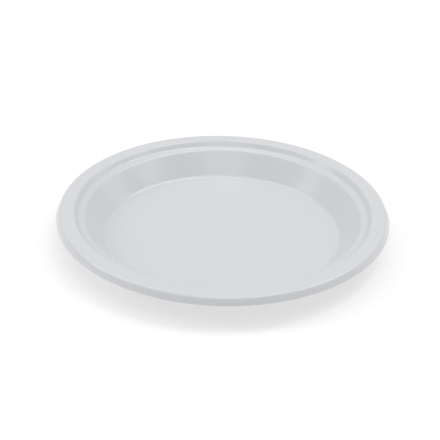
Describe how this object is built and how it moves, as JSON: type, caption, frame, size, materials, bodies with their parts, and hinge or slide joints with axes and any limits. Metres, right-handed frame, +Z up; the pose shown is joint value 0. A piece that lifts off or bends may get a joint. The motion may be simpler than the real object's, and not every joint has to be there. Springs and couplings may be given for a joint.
{
  "type": "plastic plate",
  "caption": "Shallow round plate of thin white plastic, with a flat floor, a sloped wall, a ledge and step below a flat rim, and a turned-down lip.",
  "frame": {"origin": "centre of the floor's underside, which is the face that the plate rests on", "axes": "+Z up along the plate's axis; X and Y lie in the table's plane, and the picture looks along +Y with +X to the right"},
  "size_m": [0.22, 0.22, 0.02],
  "materials": {
    "white_plastic": "satin white"
  },
  "bodies": {
    "root": {"plate": "white_plastic"}
  },
  "joints": []
}
